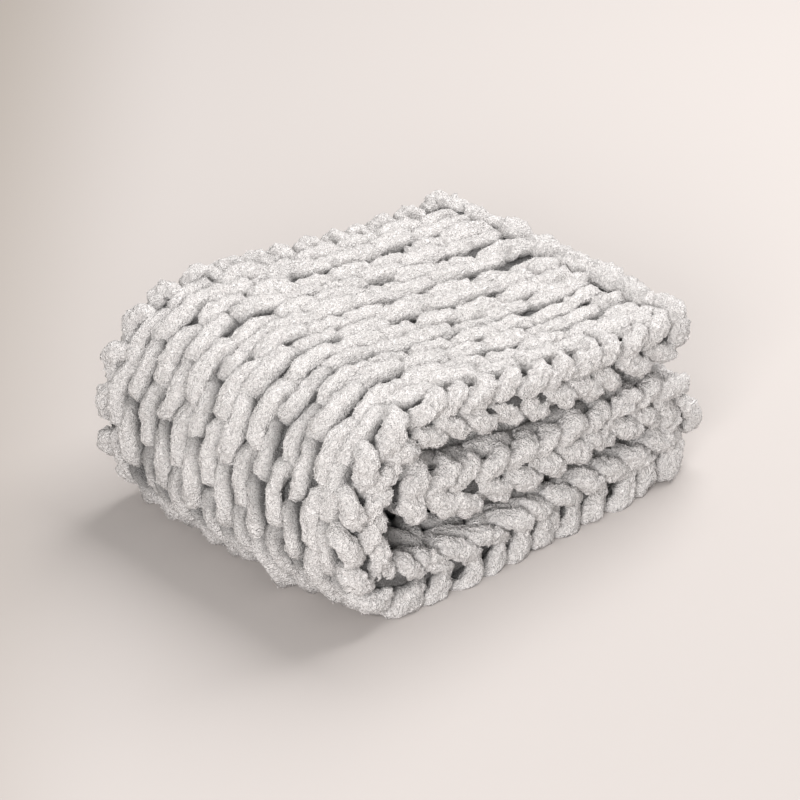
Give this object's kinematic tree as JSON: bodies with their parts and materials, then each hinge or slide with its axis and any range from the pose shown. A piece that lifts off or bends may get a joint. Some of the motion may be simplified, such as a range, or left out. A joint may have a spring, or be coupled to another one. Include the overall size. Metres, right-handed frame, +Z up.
{
  "type": "chunky knit blanket, folded",
  "caption": "Chunky hand-knit chenille blanket, lying folded in three thick layers with a big round fold and chain-stitch edges.",
  "frame": {"origin": "centre of the footprint, on the surface that the blanket lies on", "axes": "+X along the courses towards the free end of the top layer, +Y from the front edge to the back edge, +Z up"},
  "size_m": [0.467, 0.358, 0.2137],
  "materials": {
    "chenille_yarn": "plush, matt, off-white"
  },
  "bodies": {
    "root": {"knit_blanket": "chenille_yarn"}
  },
  "joints": []
}
